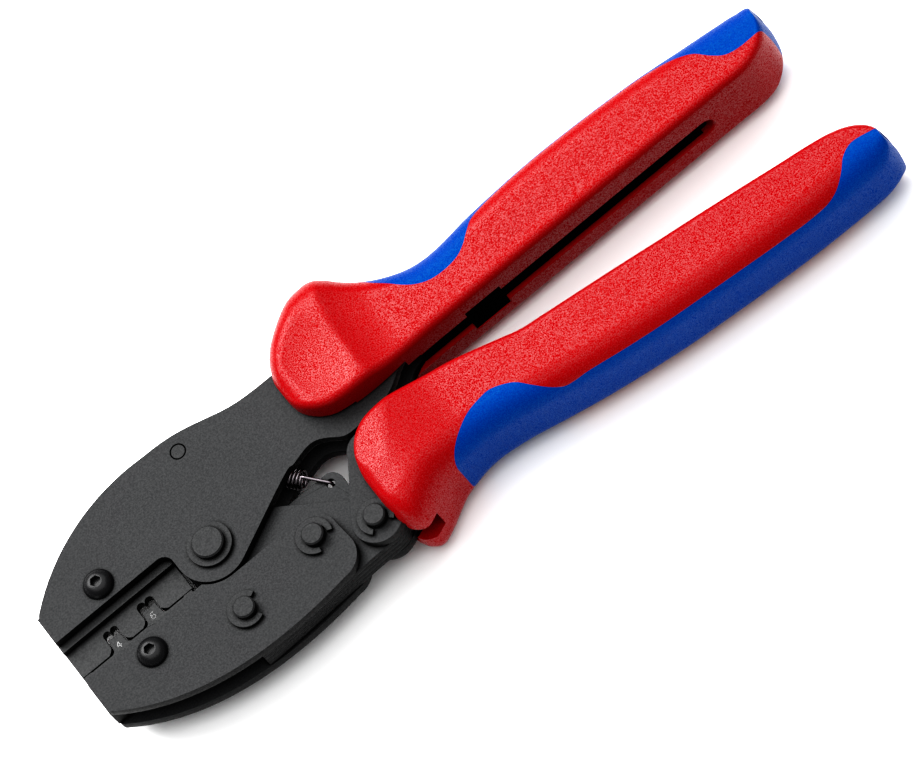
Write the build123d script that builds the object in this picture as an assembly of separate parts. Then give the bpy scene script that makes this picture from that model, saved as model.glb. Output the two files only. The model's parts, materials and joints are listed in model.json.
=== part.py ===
"""Ratcheting toggle-lever crimping plier with exchangeable dies and two-colour grips.

While it is modelled, the main pivot axis is X = Y = 0 and the mid-plane of the tool is Z = 0.
X runs from the jaws to the handle ends, and Y points to the fixed handle. Each piece is then moved
to the part's own frame: the centre of the bounding box in plan, with the lowest point at Z = 0.
The tool is modelled closed.
"""

from build123d import *
from math import atan2, cos, degrees, hypot, radians, sin, sqrt
import os

# ---------------------------------------------------------------- driving dimensions, mm and degrees
ORIGIN_SHIFT = (-67.65, -0.43, 13.0)

HALF_GAP = 3.0
PLATE = 2.5
FACE = HALF_GAP + PLATE
LAMINATION = 1.48
LAMINATION_COUNT = 4
FIT = 0.03
RUNNING_FIT = 0.05

MAIN_PIVOT = (0.0, 0.0)
HANDLE_PIVOT = (33.3, -21.8)
LINK_ANCHOR = (48.0, 8.5)
TOGGLE_ARM = 16.0
TOGGLE_LEAD = 3.0
SPRING_ANCHOR = (7.3, 24.2)
SPRING_LUG = (29.85, -5.2)
JAW_PIN_A = (-2.6, -18.9)
JAW_PIN_B = (19.7, -15.6)
UPPER_SCREW = (-25.45, 10.6)
LOWER_SCREW = (-25.2, -11.8)

MAIN_PIN_RADIUS = 3.9
SMALL_PIN_RADIUS = 2.7
ANCHOR_PIN_RADIUS = 3.0
TOGGLE_PIN_RADIUS = 2.25
FLUSH_PIN_RADIUS = 1.75
PAWL_PIN_RADIUS = 1.5
PIN_STAND = 2.5
CLIP_THICKNESS = 0.9
MAIN_CLIP_RADIUS = 5.5
SMALL_CLIP_RADIUS = 4.5
SCREW_RADIUS = 2.0
SCREW_HEAD_RADIUS = 3.7
SCREW_HEAD_HEIGHT = 2.2
SOCKET_ACROSS = 2.5
NUT_ACROSS = 7.0
NUT_HEIGHT = 2.4

LOBE_RADIUS = 8.9
LOBE_CLEARANCE = 0.6
EYE_RADIUS = 6.0
HANDLE_EYE_RADIUS = 6.1
LAMINATION_RING = 8.2
TIP_X = -41.3
DIE_RIGHT = -9.5
SLOT_TOP = 5.9
JAW_EDGE = -6.4
PROFILE_HALF = 1.25
DIE_LINE = -3.3
PROFILE_GAP = 0.25
STOP_LENGTH = 2.4
NESTS = {"4": (-30.3, 4.0), "6": (-20.1, 4.6)}

TANG_TOP = 17.2
TANG_BOTTOM = 7.0
TANG_END = 152.0
HANDLE_SLOPE = -8.0
HANDLE_DATUM = (85.0, -9.9)
WINDOW_LENGTH = 10.0
SLOT_END = 145.0

TOOTH_COUNT = 10
TOOTH_TIP = 7.0
TOOTH_ROOT = 6.1
TOOTH_FROM = -48.0
TOOTH_TO = 28.0
PAWL_REACH = 13.9
PAWL_DIRECTION = 18.0
PAWL_HALF = 1.4

# Grip stations along X: place, inner wall, outer edge and half thickness.
FIXED_STATIONS = [
    (34.0, 13.5, 20.7, 9.0),
    (35.2, 9.8, 24.4, 10.8),
    (37.8, 6.4, 28.3, 12.0),
    (42.5, 4.4, 32.3, 12.9),
    (47.5, 4.1, 35.3, 13.4),
    (52.0, 4.3, 36.1, 13.4),
    (57.0, 4.5, 34.3, 11.6),
    (62.5, 4.8, 29.4, 10.2),
    (70.0, 4.95, 24.4, 10.0),
    (79.0, 4.95, 22.2, 10.0),
    (94.0, 4.95, 23.6, 10.0),
    (112.0, 4.95, 24.4, 10.0),
    (132.0, 4.95, 23.75, 10.0),
    (152.0, 4.95, 21.85, 10.0),
    (163.0, 5.3, 20.5, 9.9),
    (168.0, 8.2, 18.9, 9.2),
    (170.8, 12.4, 16.0, 7.0),
]
MOVING_STATIONS = [
    (36.6, -13.0, -25.0, 9.0),
    (38.0, -8.5, -28.6, 10.8),
    (41.0, -4.4, -30.8, 12.2),
    (45.0, -2.9, -29.4, 13.3),
    (50.0, -2.1, -26.3, 13.2),
    (56.0, -2.2, -24.4, 11.3),
    (63.0, -3.3, -23.9, 10.2),
    (73.0, -5.8, -25.2, 10.0),
    (85.0, -9.6, -27.9, 10.0),
    (100.0, -11.6, -30.6, 10.0),
    (120.0, -14.4, -33.0, 10.0),
    (140.0, -17.2, -34.6, 10.0),
    (158.0, -19.9, -35.2, 10.0),
    (168.0, -21.8, -35.0, 9.8),
    (174.0, -24.8, -33.6, 8.4),
    (176.9, -28.0, -31.0, 4.6),
]
REST_HALF = 13.0
INNER_EDGE_RADIUS = 1.8
OUTER_EDGE_SHARE = 0.62

# Edge of the soft zone in plan; the zone lies on the outer side of it.
FIXED_SOFT_EDGE = [
    (60.0, 33.0),
    (66.4, 24.0),
    (70.4, 18.4),
    (75.8, 14.8),
    (80.4, 14.1),
    (85.2, 15.2),
    (91.5, 19.9),
    (99.0, 22.0),
    (114.0, 22.7),
    (140.0, 21.4),
    (150.5, 19.2),
    (154.9, 16.2),
    (159.0, 11.4),
    (164.0, 10.0),
    (176.0, 9.9),
]
MOVING_SOFT_EDGE = [
    (51.0, -34.0),
    (52.6, -27.4),
    (56.4, -23.4),
    (61.0, -20.4),
    (67.8, -17.4),
    (73.6, -17.9),
    (78.6, -21.8),
    (83.6, -26.4),
    (91.0, -28.2),
    (112.0, -31.5),
    (134.0, -33.4),
    (152.0, -34.3),
    (158.6, -34.0),
    (163.2, -31.0),
    (167.4, -27.6),
    (172.0, -27.2),
    (182.0, -28.4),
]

SPRING_WIRE = 0.4
SPRING_RADIUS = 2.1
SPRING_Z = 0.3
SPRING_HOOK = 7.2
SPRING_TOP_HOOK = 6.0
PAWL_SPRING_LENGTH = 9.0


# ---------------------------------------------------------------- small helpers
def polar(centre, radius, angle):
    """Point at a radius and an angle in degrees from a centre."""
    return (centre[0] + radius * cos(radians(angle)), centre[1] + radius * sin(radians(angle)))


def slab(face, low, high):
    """Solid between two heights over a plan face."""
    return Pos(0, 0, low) * extrude(face, amount=high - low, dir=(0, 0, 1))


def disc(centre, radius, low, high):
    """Round disc on a vertical axis."""
    return Pos(centre[0], centre[1], low) * extrude(Circle(radius), amount=high - low)


def block(x_low, x_high, y_low, y_high, half):
    """Box centred on the mid-plane."""
    size = Box(x_high - x_low, y_high - y_low, 2 * half)
    return Pos((x_low + x_high) / 2, (y_low + y_high) / 2, 0) * size


def polygon(points):
    """Plan face of straight edges."""
    return make_face(Polyline(*points, close=True))


def both_sides(face, holes):
    """Front and back plate of one outline, with round holes given as (centre, radius)."""
    front = slab(face, HALF_GAP, FACE)
    for centre, radius in holes:
        front -= disc(centre, radius, HALF_GAP, FACE)
    return front, front.mirror(Plane.XY)


# ---------------------------------------------------------------- plates
def tang_end(top_point, bottom_point):
    """Round end that joins the two long edges of a tang."""
    middle = ((top_point[0] + bottom_point[0]) / 2, (top_point[1] + bottom_point[1]) / 2)
    reach = hypot(top_point[0] - bottom_point[0], top_point[1] - bottom_point[1]) / 2
    along = atan2(top_point[1] - bottom_point[1], top_point[0] - bottom_point[0]) - radians(90)
    tip = (middle[0] + reach * cos(along), middle[1] + reach * sin(along))
    return ThreePointArc(top_point, tip, bottom_point)


def fixed_plate_face():
    """Side plate of the fixed half, from the jaw tip to the end of its tang."""
    lobe_start = (-LOBE_RADIUS, 0.0)
    lobe_end = polar(MAIN_PIVOT, LOBE_RADIUS, -62)
    slot_corner = 2.8
    turn = slot_corner * (1 - sqrt(0.5))
    end_top = (TANG_END - 5.1, TANG_TOP)
    end_bottom = (TANG_END - 5.1, TANG_BOTTOM)
    edges = [
        Line((TIP_X, SLOT_TOP), (TIP_X, 12.6)),
        ThreePointArc((TIP_X, 12.6), (-41.0, 13.5), (-40.2, 14.6)),
        ThreePointArc((-40.2, 14.6), (-22.0, 25.9), (0.0, 29.0)),
        Spline((0.0, 29.0), (10.2, 28.1), (20.2, 25.3), (34.0, 24.0), tangents=[(1, 0), (1, 0)]),
        Spline((34.0, 24.0), (60.0, 19.0), (80.0, TANG_TOP), tangents=[(1, 0), (1, 0)]),
        Line((80.0, TANG_TOP), end_top),
        tang_end(end_top, end_bottom),
        Line(end_bottom, (66.0, TANG_BOTTOM)),
        Spline((66.0, TANG_BOTTOM), (54.0, 1.6), (43.0, -0.5), tangents=[(-1, 0), (-1, 0)]),
        Spline(
            (43.0, -0.5),
            (38.9, -0.1),
            (36.6, 1.6),
            (32.2, 3.8),
            (26.5, 2.6),
            (14.0, -2.7),
            tangents=[(-1, 0), (-1, -0.53)],
        ),
        Line((14.0, -2.7), lobe_end),
        ThreePointArc(lobe_end, polar(MAIN_PIVOT, LOBE_RADIUS, -120), lobe_start),
        Line(lobe_start, (-LOBE_RADIUS, SLOT_TOP - slot_corner)),
        ThreePointArc(
            (-LOBE_RADIUS, SLOT_TOP - slot_corner),
            (-LOBE_RADIUS - turn, SLOT_TOP - turn),
            (-LOBE_RADIUS - slot_corner, SLOT_TOP),
        ),
        Line((-LOBE_RADIUS - slot_corner, SLOT_TOP), (TIP_X, SLOT_TOP)),
    ]
    return make_face(edges)


def jaw_plate_face():
    """Side plate of the moving jaw."""
    arc_radius = LOBE_RADIUS + LOBE_CLEARANCE
    arc_start = (-sqrt(arc_radius**2 - JAW_EDGE**2), JAW_EDGE)
    edges = [
        Line((TIP_X, JAW_EDGE), arc_start),
        ThreePointArc(arc_start, polar(MAIN_PIVOT, arc_radius, -112), (0.0, -arc_radius)),
        Line((0.0, -arc_radius), (19.4, -arc_radius)),
        ThreePointArc((19.4, -arc_radius), (23.8, -11.5), (25.4, -16.0)),
        Line((25.4, -16.0), (25.9, -21.8)),
        ThreePointArc((25.9, -21.8), (24.1, -26.4), (19.4, -28.3)),
        Spline((19.4, -28.3), (-4.0, -29.5), (-24.8, -25.5), (-40.6, -16.9)),
        ThreePointArc((-40.6, -16.9), (-41.2, -16.3), (-41.3, -15.4)),
        Line((-41.3, -15.4), (TIP_X, JAW_EDGE)),
    ]
    return make_face(edges)


def lamination_face():
    """Middle layer of the jaw: main pivot eye, body and handle pivot eye."""
    corner = (17.6, -2.2)
    reach = hypot(*corner)
    touch = degrees(atan2(corner[1], corner[0])) + degrees(atan2(sqrt(reach**2 - LAMINATION_RING**2), LAMINATION_RING))
    ring_touch = polar(MAIN_PIVOT, LAMINATION_RING, touch)
    left = -6.4
    ring_left = (left, -sqrt(LAMINATION_RING**2 - left**2))
    eye_touch = polar(HANDLE_PIVOT, EYE_RADIUS, 52.8)
    eye_bottom = (HANDLE_PIVOT[0], HANDLE_PIVOT[1] - EYE_RADIUS)
    edges = [
        Line(corner, ring_touch),
        ThreePointArc(ring_touch, (-LAMINATION_RING, 0.0), ring_left),
        Line(ring_left, (left, -29.1)),
        Spline((left, -29.1), (6.0, -28.9), (19.4, -28.1), eye_bottom),
        ThreePointArc(eye_bottom, (HANDLE_PIVOT[0] + EYE_RADIUS, HANDLE_PIVOT[1]), eye_touch),
        Line(eye_touch, corner),
    ]
    return make_face(edges)


def lug_face():
    """Ear on one lamination that holds the opening spring's hook."""
    radius = 3.0
    centre = (SPRING_LUG[0], SPRING_LUG[1] - 0.4)
    edges = [
        Line((19.4, centre[1] + radius), (centre[0], centre[1] + radius)),
        ThreePointArc((centre[0], centre[1] + radius), polar(centre, radius, 45), (centre[0] + radius, centre[1])),
        Line((centre[0] + radius, centre[1]), (centre[0] + radius, -14.0)),
        Line((centre[0] + radius, -14.0), (19.4, -10.0)),
        Line((19.4, -10.0), (19.4, centre[1] + radius)),
    ]
    return make_face(edges)


def tooth_face():
    """Ratchet teeth around the handle pivot."""
    step = (TOOTH_TO - TOOTH_FROM) / TOOTH_COUNT
    points = [HANDLE_PIVOT]
    for tooth in range(TOOTH_COUNT):
        start = TOOTH_FROM + tooth * step
        points.append(polar(HANDLE_PIVOT, TOOTH_ROOT, start))
        points.append(polar(HANDLE_PIVOT, TOOTH_TIP, start + step / 2))
    points.append(polar(HANDLE_PIVOT, TOOTH_ROOT, TOOTH_TO))
    return polygon(points)


def handle_local(x, y):
    """Point given along and across the moving handle, from its datum on the inner wall."""
    turn = radians(HANDLE_SLOPE)
    return (
        HANDLE_DATUM[0] + x * cos(turn) - y * sin(turn),
        HANDLE_DATUM[1] + x * sin(turn) + y * cos(turn),
    )


def handle_plate_face():
    """Side plate of the moving handle, from its pivot eye to the end of its tang."""
    centre, radius = HANDLE_PIVOT, HANDLE_EYE_RADIUS
    eye_left = polar(centre, radius, 148)
    eye_bottom = polar(centre, radius, -75)
    end_top = handle_local(66.0, -1.9)
    end_bottom = handle_local(66.0, -11.7)
    low = handle_local(-8.0, -11.7)
    edges = [
        ThreePointArc(eye_bottom, polar(centre, radius, -150), eye_left),
        Line(eye_left, (36.3, -5.5)),
        ThreePointArc((36.3, -5.5), (38.3, -2.7), (41.6, -1.7)),
        Spline((41.6, -1.7), (50.0, -3.9), (64.0, -6.3), handle_local(0.0, -1.9)),
        Line(handle_local(0.0, -1.9), end_top),
        tang_end(end_top, end_bottom),
        Line(end_bottom, low),
        Spline(low, (62.0, -19.9), (50.0, -22.2), eye_bottom),
    ]
    return make_face(edges)


# ---------------------------------------------------------------- pins, clips, screws and rivets
def grooved_pin(centre, radius):
    """Pin with a head at the back and a clip groove above the front plate."""
    top = FACE + PIN_STAND
    chamfer_size = 0.35
    groove = 0.78 * radius
    pin = disc(centre, radius, -FACE, top - chamfer_size)
    pin += Pos(centre[0], centre[1], top - chamfer_size / 2) * Cone(
        radius, radius - chamfer_size, chamfer_size
    )
    pin += disc(centre, radius + 1.3, -FACE - 1.5, -FACE)
    low, high = FACE + 0.05, FACE + 0.15 + CLIP_THICKNESS
    return pin - (disc(centre, radius + 1, low, high) - disc(centre, groove, low, high))


def e_clip(centre, pin_radius, outer, opening, half_opening):
    """Retaining clip in a pin's groove, open towards one side (angles in degrees)."""
    low = FACE + 0.1
    high = low + CLIP_THICKNESS
    tip_width = 1.25
    groove = 0.78 * pin_radius + FIT
    inner = (groove + outer - tip_width) / 2
    hollow_centre = polar(centre, inner - groove, opening)
    ring = disc(centre, outer, low, high) - disc(hollow_centre, inner, low, high)
    wedge = polygon(
        [
            centre,
            polar(centre, 2 * outer, opening - half_opening),
            polar(centre, 3 * outer, opening),
            polar(centre, 2 * outer, opening + half_opening),
        ]
    )
    return ring - slab(wedge, low, high)


def plain_pin(centre, radius):
    """Pin that ends flush with both plates."""
    return disc(centre, radius, -FACE, FACE)


def collar_rivet(centre):
    """Rivet with a spacer collar that fills the gap between two plates."""
    return plain_pin(centre, 2.0) + disc(centre, 3.4, -HALF_GAP, HALF_GAP)


def die_screw(centre):
    """Button-head screw with a hexagon socket, put in from the front."""
    rim = 0.3
    crown_radius = 1.5
    edges = [
        Line((0, 0), (SCREW_HEAD_RADIUS, 0)),
        Line((SCREW_HEAD_RADIUS, 0), (SCREW_HEAD_RADIUS, rim)),
        ThreePointArc((SCREW_HEAD_RADIUS, rim), (2.95, 1.5), (crown_radius, SCREW_HEAD_HEIGHT)),
        Line((crown_radius, SCREW_HEAD_HEIGHT), (0, SCREW_HEAD_HEIGHT)),
        Line((0, SCREW_HEAD_HEIGHT), (0, 0)),
    ]
    dome = revolve(Plane.XZ * make_face(edges), Axis.Z, 360)
    head = Pos(centre[0], centre[1], FACE) * dome
    socket = extrude(RegularPolygon(SOCKET_ACROSS / 2, 6, major_radius=False), amount=2)
    head -= Pos(centre[0], centre[1], FACE + SCREW_HEAD_HEIGHT - 1.4) * socket
    return head + disc(centre, SCREW_RADIUS, -FACE - NUT_HEIGHT - 0.6, FACE)


def die_nut(centre):
    """Hexagon nut on the back plate."""
    nut = extrude(RegularPolygon(NUT_ACROSS / 2, 6, major_radius=False), amount=NUT_HEIGHT)
    nut = Pos(centre[0], centre[1], -FACE - NUT_HEIGHT) * nut
    return nut - disc(centre, SCREW_RADIUS, -FACE - NUT_HEIGHT, -FACE)


# ---------------------------------------------------------------- dies
def nest_cut(centre_x, width):
    """Arched nest of the upper die, with a two-lobed roof and a flared mouth."""
    half = width / 2
    flare = 1.5
    corner = 0.4 * flare
    spring_line = 1.3
    low = DIE_LINE + 0.1
    quarter = half / 2
    edges = [
        Line((centre_x - half - flare, low - 1), (centre_x - half - flare, low)),
        ThreePointArc(
            (centre_x - half - flare, low),
            (centre_x - half - corner, low + corner),
            (centre_x - half, low + flare),
        ),
        Line((centre_x - half, low + flare), (centre_x - half, spring_line)),
        ThreePointArc(
            (centre_x - half, spring_line),
            (centre_x - quarter, spring_line + quarter),
            (centre_x, spring_line),
        ),
        ThreePointArc(
            (centre_x, spring_line),
            (centre_x + quarter, spring_line + quarter),
            (centre_x + half, spring_line),
        ),
        Line((centre_x + half, spring_line), (centre_x + half, low + flare)),
        ThreePointArc(
            (centre_x + half, low + flare),
            (centre_x + half + corner, low + corner),
            (centre_x + half + flare, low),
        ),
        Line((centre_x + half + flare, low), (centre_x + half + flare, low - 1)),
        Line((centre_x + half + flare, low - 1), (centre_x - half - flare, low - 1)),
    ]
    return slab(make_face(edges), -HALF_GAP, HALF_GAP)


def anvil(centre_x, width):
    """Tapered anvil of the lower die, with a shallow dished top and a flared foot."""
    foot = width / 2 - 0.2
    top = foot - 0.25
    flare = 1.2
    corner = 0.3 * flare
    low = DIE_LINE - PROFILE_GAP
    height = 0.3
    edges = [
        Line((centre_x - foot - flare, low - 1), (centre_x - foot - flare, low)),
        ThreePointArc(
            (centre_x - foot - flare, low),
            (centre_x - foot - corner, low + corner),
            (centre_x - foot, low + flare),
        ),
        Line((centre_x - foot, low + flare), (centre_x - top, height)),
        ThreePointArc(
            (centre_x - top, height), (centre_x, height - 0.35), (centre_x + top, height)
        ),
        Line((centre_x + top, height), (centre_x + foot, low + flare)),
        ThreePointArc(
            (centre_x + foot, low + flare),
            (centre_x + foot + corner, low + corner),
            (centre_x + foot + flare, low),
        ),
        Line((centre_x + foot + flare, low), (centre_x + foot + flare, low - 1)),
        Line((centre_x + foot + flare, low - 1), (centre_x - foot - flare, low - 1)),
    ]
    return slab(make_face(edges), -PROFILE_HALF, PROFILE_HALF)


def make_upper_die():
    """Thick clamped part with the thin nest profile below it."""
    left = TIP_X - 0.3
    die = block(left, DIE_RIGHT, 4.0, 15.0, HALF_GAP)
    die += block(left, DIE_RIGHT, DIE_LINE + 0.1, 4.0, PROFILE_HALF)
    for centre_x, width in NESTS.values():
        die -= nest_cut(centre_x, width)
    return die - disc(UPPER_SCREW, SCREW_RADIUS + FIT, -HALF_GAP, HALF_GAP)


def make_lower_die():
    """Thick clamped part with the thin anvil profile above it, and a stop at each end."""
    left = TIP_X - 0.3
    die = block(left, DIE_RIGHT - 0.3, -16.0, JAW_EDGE, HALF_GAP)
    right = DIE_RIGHT - 0.3
    die += block(left, right, JAW_EDGE, DIE_LINE - PROFILE_GAP, PROFILE_HALF)
    die += block(left, left + STOP_LENGTH, JAW_EDGE, DIE_LINE - 0.05, PROFILE_HALF)
    die += block(right - STOP_LENGTH, right, JAW_EDGE, DIE_LINE - 0.05, PROFILE_HALF)
    for centre_x, width in NESTS.values():
        die += anvil(centre_x, width)
    return die - disc(LOWER_SCREW, SCREW_RADIUS + FIT, -HALF_GAP, HALF_GAP)


# ---------------------------------------------------------------- toggle, ratchet and springs
def toggle_point():
    """Toggle pin's place: just short of the line from the handle pivot to the link anchor."""
    line = degrees(atan2(LINK_ANCHOR[1] - HANDLE_PIVOT[1], LINK_ANCHOR[0] - HANDLE_PIVOT[0]))
    return polar(HANDLE_PIVOT, TOGGLE_ARM, line - TOGGLE_LEAD)


def make_link(toggle):
    """Pressure link; its lower eye is opened out, because the linkage is open at the toggle pin."""
    half = HALF_GAP - 0.1
    eye = 5.2
    waist = 4.3
    across = degrees(atan2(toggle[1] - LINK_ANCHOR[1], toggle[0] - LINK_ANCHOR[0]))
    corners = [
        polar(LINK_ANCHOR, waist, across + 90),
        polar(LINK_ANCHOR, waist, across - 90),
        polar(toggle, waist, across - 90),
        polar(toggle, waist, across + 90),
    ]
    link = disc(LINK_ANCHOR, eye, -half, half) + disc(toggle, eye, -half, half)
    link += slab(polygon(corners), -half, half)
    link -= disc(LINK_ANCHOR, ANCHOR_PIN_RADIUS + RUNNING_FIT, -half, half)
    open_eye = polar(polar(toggle, -0.76, across), 0.45, across + 90)
    return link - disc(open_eye, TOGGLE_PIN_RADIUS + 0.98, -half, half)


def pawl_frame(x, y):
    """Point along and across the line from the handle pivot to the pawl pin."""
    centre = polar(HANDLE_PIVOT, PAWL_REACH + x, PAWL_DIRECTION)
    return polar(centre, y, PAWL_DIRECTION + 90)


def make_pawl():
    """Two-way pawl whose nose points at the teeth."""
    pin = pawl_frame(0, 0)
    nose = TOOTH_TIP + 0.2 - PAWL_REACH
    body = [
        pawl_frame(nose, 0.25),
        pawl_frame(nose, -0.25),
        pawl_frame(-2.2, -2.4),
        pawl_frame(0, -3.0),
        pawl_frame(3.4, -1.2),
        pawl_frame(3.4, 1.2),
        pawl_frame(0, 3.0),
        pawl_frame(-2.2, 2.4),
    ]
    pawl = slab(polygon(body), -PAWL_HALF, PAWL_HALF) + disc(pin, 3.0, -PAWL_HALF, PAWL_HALF)
    return pawl - disc(pin, PAWL_PIN_RADIUS + RUNNING_FIT, -PAWL_HALF, PAWL_HALF)


def coil_body(radius, wire, turns):
    """Close-wound coil along +Z as one ribbed tube, starting at Z = 0."""
    pitch = 2 * wire
    inside = radius - wire
    edges = [Line((inside, 0), (radius, 0))]
    for turn in range(turns):
        low = turn * pitch
        edges.append(
            ThreePointArc((radius, low), (radius + wire, low + wire), (radius, low + pitch))
        )
    length = turns * pitch
    edges.append(Line((radius, length), (inside, length)))
    edges.append(Line((inside, length), (inside, 0)))
    profile = Plane.XZ * make_face(edges)
    return revolve(profile, Axis.Z, 360), length


def placed_along(shape, start, end, height):
    """Shape made along +Z, laid from one plan point towards another at a height."""
    direction = (end[0] - start[0], end[1] - start[1], 0)
    plane = Plane(origin=(start[0], start[1], height), x_dir=(0, 0, 1), z_dir=direction)
    return plane.location * shape


def straight_wire(start, end, wire, height):
    """Round wire between two plan points at a height."""
    length = hypot(end[0] - start[0], end[1] - start[1])
    return placed_along(extrude(Circle(wire), amount=length), start, end, height)


def along(start, end, distance):
    """Point at a distance from the start on a line."""
    length = hypot(end[0] - start[0], end[1] - start[1])
    share = distance / length
    return (start[0] + share * (end[0] - start[0]), start[1] + share * (end[1] - start[1]))


def make_opening_spring():
    """Tension spring between the flush pin and the lug, with a ring round the pin."""
    length = hypot(SPRING_LUG[0] - SPRING_ANCHOR[0], SPRING_LUG[1] - SPRING_ANCHOR[1])
    turns = int((length - SPRING_HOOK - SPRING_TOP_HOOK) / (2 * SPRING_WIRE))
    coil, coil_length = coil_body(SPRING_RADIUS, SPRING_WIRE, turns)
    coil_start = along(SPRING_ANCHOR, SPRING_LUG, SPRING_TOP_HOOK)
    coil_end = along(SPRING_ANCHOR, SPRING_LUG, SPRING_TOP_HOOK + coil_length)
    spring = placed_along(coil, coil_start, SPRING_LUG, SPRING_Z)
    bridge = Cylinder(SPRING_RADIUS, 2 * SPRING_WIRE)
    spring += placed_along(bridge, along(coil_start, coil_end, SPRING_WIRE), SPRING_LUG, SPRING_Z)
    spring += placed_along(bridge, along(coil_end, coil_start, SPRING_WIRE), SPRING_LUG, SPRING_Z)
    ring_radius = FLUSH_PIN_RADIUS + SPRING_WIRE + 0.1
    spring += Pos(*SPRING_ANCHOR, SPRING_Z) * Torus(ring_radius, SPRING_WIRE)
    ring_edge = along(SPRING_ANCHOR, SPRING_LUG, ring_radius)
    spring += straight_wire(ring_edge, coil_start, SPRING_WIRE, SPRING_Z)
    hook_z = LAMINATION + SPRING_WIRE + 0.05
    spring += straight_wire(along(coil_end, coil_start, 1.5 * SPRING_WIRE), SPRING_LUG, SPRING_WIRE, hook_z)
    spring += Pos(*SPRING_LUG, hook_z) * Sphere(SPRING_WIRE)
    return spring + disc(SPRING_LUG, SPRING_WIRE, -1.0, hook_z)


def make_pawl_spring():
    """Small centring spring from the pawl's tail to its post."""
    coil, length = coil_body(1.2, 0.25, 10)
    start = pawl_frame(4.4, 0)
    end = pawl_frame(12.0, 0)
    spring = placed_along(coil, start, end, 0)
    bridge = Cylinder(1.2, 0.5)
    spring += placed_along(bridge, along(start, end, 0.25), end, 0)
    spring += placed_along(bridge, along(start, end, length - 0.25), end, 0)
    spring += straight_wire(along(start, end, length - 0.1), pawl_frame(10.4, 0), 0.25, 0)
    return spring


# ---------------------------------------------------------------- grips
def grip_section(place, inner, outer, half):
    """Rounded section of a grip: small edges at the inner wall and large ones outside."""
    side = 1 if outer > inner else -1
    inner_radius = min(INNER_EDGE_RADIUS, 0.4 * abs(outer - inner))
    outer_radius = min(OUTER_EDGE_SHARE * half, 0.5 * abs(outer - inner))
    turn_in = inner_radius * (1 - sqrt(0.5))
    turn_out = outer_radius * (1 - sqrt(0.5))
    near = inner + side * inner_radius
    far = outer - side * outer_radius
    edges = [
        Line((inner, half - inner_radius), (inner, inner_radius - half)),
        ThreePointArc(
            (inner, inner_radius - half),
            (inner + side * turn_in, turn_in - half),
            (near, -half),
        ),
        Line((near, -half), (far, -half)),
        ThreePointArc(
            (far, -half),
            (outer - side * turn_out, turn_out - half),
            (outer, outer_radius - half),
        ),
        Line((outer, outer_radius - half), (outer, half - outer_radius)),
        ThreePointArc(
            (outer, half - outer_radius),
            (outer - side * turn_out, half - turn_out),
            (far, half),
        ),
        Line((far, half), (near, half)),
        ThreePointArc(
            (near, half),
            (inner + side * turn_in, half - turn_in),
            (inner, half - inner_radius),
        ),
    ]
    plane = Plane(origin=(place, 0, 0), x_dir=(0, 1, 0), z_dir=(1, 0, 0))
    return plane * make_face(edges)


def grip_body(stations):
    """Solid grip through its stations, with its crests cut flat for the tool to rest on."""
    body = loft([grip_section(*station) for station in stations])
    return body & block(30.0, 180.0, -40.0, 40.0, REST_HALF)


def soft_zone(edge, far_y, half):
    """Space on the outer side of the soft zone's edge."""
    first, last = edge[0], edge[-1]
    edges = [
        Spline(*edge),
        Line(last, (last[0], far_y)),
        Line((last[0], far_y), (first[0], far_y)),
        Line((first[0], far_y), first),
    ]
    return slab(make_face(edges), -half, half)


def fixed_grip_hollow(plates):
    """Space in the fixed grip for its plates, the gap between them, the slot and the window."""
    slot_floor = TANG_TOP - 0.6
    hollow = block(30.0, 64.0, -5.0, 21.0, HALF_GAP)
    hollow += block(60.0, SLOT_END, 0.0, slot_floor, HALF_GAP)
    slot_end = extrude(Circle(HALF_GAP), amount=slot_floor)
    hollow += Pos(SLOT_END, slot_floor, 0) * Rot(90, 0, 0) * slot_end
    window = block(77.5, 77.5 + WINDOW_LENGTH, 0.0, TANG_BOTTOM, FACE)
    hollow += window
    for plate in plates:
        hollow += plate
    return hollow


def moving_grip_hollow(plates):
    """The same in the moving grip, with its open mouth and room for the pivot pin's ends."""
    depth = 10.6
    hollow = block(30.0, 44.4, -40.0, 5.0, HALF_GAP + 0.1)
    head_gap = polygon([(44.0, 5.0), (66.0, 5.0), (66.0, -18.6), (52.0, -22.4), (44.0, -24.0)])
    hollow += slab(head_gap, -HALF_GAP - 0.1, HALF_GAP + 0.1)
    slot_length = SLOT_END - 60.0
    centre = handle_local(slot_length / 2 - 22.0, 2.0 - depth / 2)
    turned = Pos(*centre, 0) * Rot(0, 0, HANDLE_SLOPE)
    hollow += turned * Box(slot_length, depth + 4.0, 2 * HALF_GAP)
    slot_end = Rot(90, 0, 0) * Cylinder(HALF_GAP, depth + 4.0)
    hollow += Pos(*handle_local(slot_length - 22.0, 2.0 - depth / 2), 0) * Rot(0, 0, HANDLE_SLOPE) * slot_end
    window = Box(WINDOW_LENGTH, 6.0, 2 * FACE)
    hollow += Pos(*handle_local(0.0, 1.1), 0) * Rot(0, 0, HANDLE_SLOPE) * window
    hollow += disc(HANDLE_PIVOT, SMALL_CLIP_RADIUS + 0.6, FACE, FACE + PIN_STAND + 0.4)
    hollow += disc(HANDLE_PIVOT, SMALL_CLIP_RADIUS + 0.6, -FACE - 1.9, -FACE)
    for plate in plates:
        hollow += plate
    return hollow


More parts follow.
